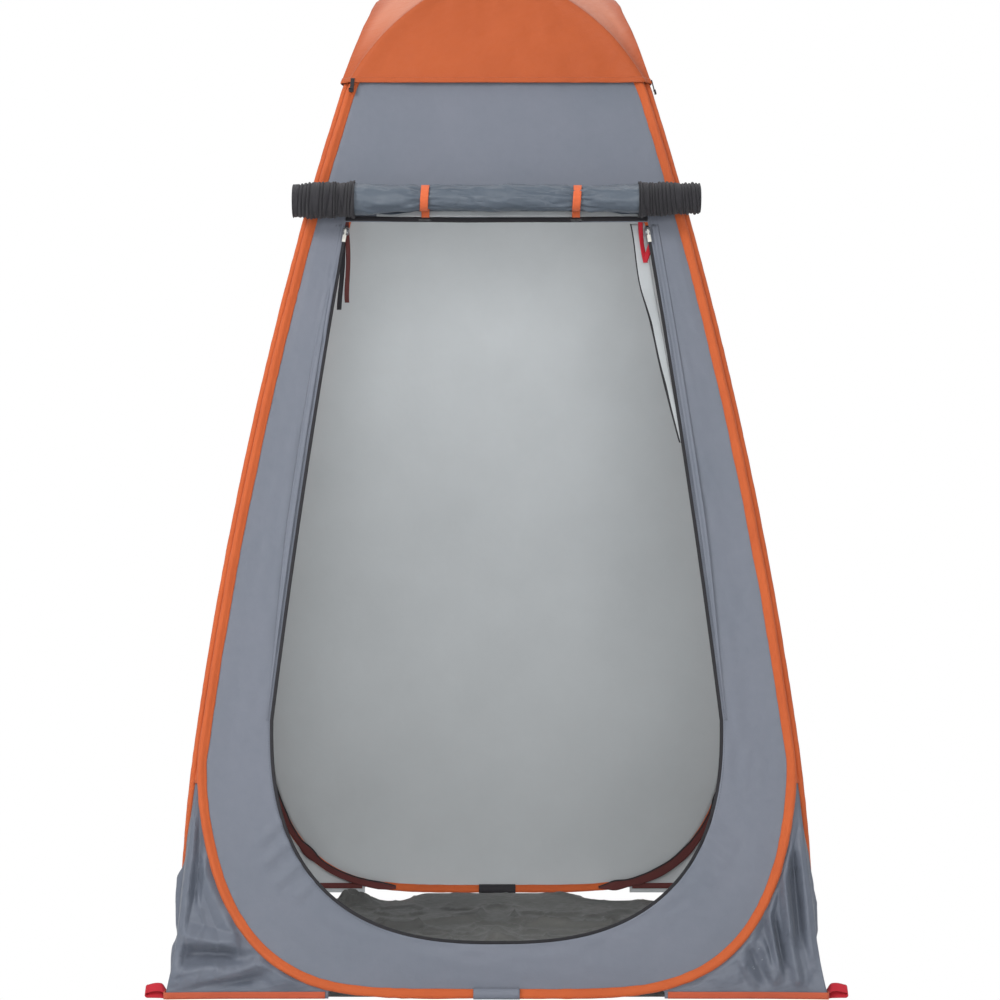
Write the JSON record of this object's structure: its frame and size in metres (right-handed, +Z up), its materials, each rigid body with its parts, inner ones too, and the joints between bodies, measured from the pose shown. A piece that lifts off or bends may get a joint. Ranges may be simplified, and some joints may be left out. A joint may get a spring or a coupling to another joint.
{
  "type": "pop-up privacy shelter",
  "caption": "Pop-up privacy shelter: tapered tower of grey cloth on closed spring hoops, orange rain cap, rolled-up front door and loose floor.",
  "frame": {"origin": "centre of the base, on the ground", "axes": "+Z up, the doorway faces -Y, +X to the right of someone looking at the door"},
  "size_m": [1.307, 1.2376, 2],
  "materials": {
    "spring_steel": "hardened spring wire, 4 mm",
    "ferrule_steel": "crimped steel tube",
    "orange_tape": "woven polyester binding tape, orange, stitched",
    "orange_cloth": "coated polyester taffeta, orange",
    "orange_webbing": "ribbed polyester webbing, orange",
    "red_webbing": "woven polyester webbing, red",
    "grey_cloth": "coated polyester taffeta, grey outside and silver inside",
    "roof_mesh": "fine knitted mesh",
    "floor_sheet_cloth": "coated polyester, dark grey, creased",
    "black_tape": "woven black zip and binding tape",
    "black_plastic": "moulded, fine grain",
    "zip_metal": "cast and plated",
    "pull_plastic": "moulded, pale"
  },
  "bodies": {
    "shelter": {"front_hoop_wire": "spring_steel", "back_hoop_wire": "spring_steel", "left_hoop_wire": "spring_steel", "right_hoop_wire": "spring_steel", "hoop_ferrules": "ferrule_steel", "front_hoop_sleeve": "orange_tape", "back_hoop_sleeve": "orange_tape", "left_hoop_sleeve": "orange_tape", "right_hoop_sleeve": "orange_tape", "front_wall": "grey_cloth", "back_wall": "grey_cloth", "left_wall": "grey_cloth", "right_wall": "grey_cloth", "gusset_front_left": "grey_cloth", "gusset_front_right": "grey_cloth", "gusset_back_left": "grey_cloth", "gusset_back_right": "grey_cloth", "hem_front_left": "orange_tape", "hem_front_right": "orange_tape", "hem_back_left": "orange_tape", "hem_back_right": "orange_tape", "peg_loop_front_left": "red_webbing", "peg_loop_front_right": "red_webbing", "peg_loop_back_left": "red_webbing", "peg_loop_back_right": "red_webbing", "front_joint_cover": "grey_cloth", "back_joint_cover": "black_tape", "left_joint_cover": "black_tape", "right_joint_cover": "black_tape", "roof_panel": "roof_mesh", "floor_sheet": "floor_sheet_cloth", "doorway_zip": "black_tape", "head_tape": "black_tape", "jamb_facing_left": "grey_cloth", "jamb_facing_right": "grey_cloth", "tie_left": "orange_webbing", "tie_right": "orange_webbing", "ribbon_black": "black_tape", "ribbon_red": "red_webbing", "ribbon_loop": "red_webbing"},
    "door_roll_body": {"door_roll": "grey_cloth", "roll_end_left": "black_tape", "roll_end_right": "black_tape", "toggle_left": "black_plastic", "toggle_right": "black_plastic"},
    "slider_left_body": {"slider_left": "zip_metal"},
    "slider_right_body": {"slider_right": "zip_metal"},
    "pull_left_body": {"pull_left": "pull_plastic"},
    "pull_right_body": {"pull_right": "pull_plastic"},
    "rain_cap_body": {"rain_cap": "orange_cloth", "cap_hooks": "black_plastic"}
  },
  "joints": [
    {"name": "door_unroll", "type": "hinge", "parent": "shelter", "child": "door_roll_body", "pos_m": [0, 8.0215, -0.62437], "axis": [1, 0, 0], "range_deg": [0, 9.2], "deforming": ["tie_left", "tie_right"]},
    {"name": "slider_left_run", "type": "hinge", "parent": "shelter", "child": "slider_left_body", "pos_m": [2.27266, 7.23433, -0.83186], "axis": [0.9397, -0.336, -0.0637], "range_deg": [0, 6.21]},
    {"name": "slider_right_run", "type": "hinge", "parent": "shelter", "child": "slider_right_body", "pos_m": [-2.27266, 7.23433, -0.83186], "axis": [0.9397, 0.336, 0.0637], "range_deg": [0, 6.21]},
    {"name": "pull_left_turn", "type": "hinge", "parent": "slider_left_body", "child": "pull_left_body", "pos_m": [-0.29447, -0.3852, 1.45173], "axis": [-0.9882, 0.0367, 0.1485], "range_deg": [0, 160]},
    {"name": "pull_right_turn", "type": "hinge", "parent": "slider_right_body", "child": "pull_right_body", "pos_m": [0.29447, -0.3852, 1.45173], "axis": [-0.9882, -0.0367, -0.1485], "range_deg": [0, 160]},
    {"name": "rain_cap_lift", "type": "slide", "parent": "shelter", "child": "rain_cap_body", "axis": [0, 0, 1], "range_m": [0, 0.3]}
  ]
}
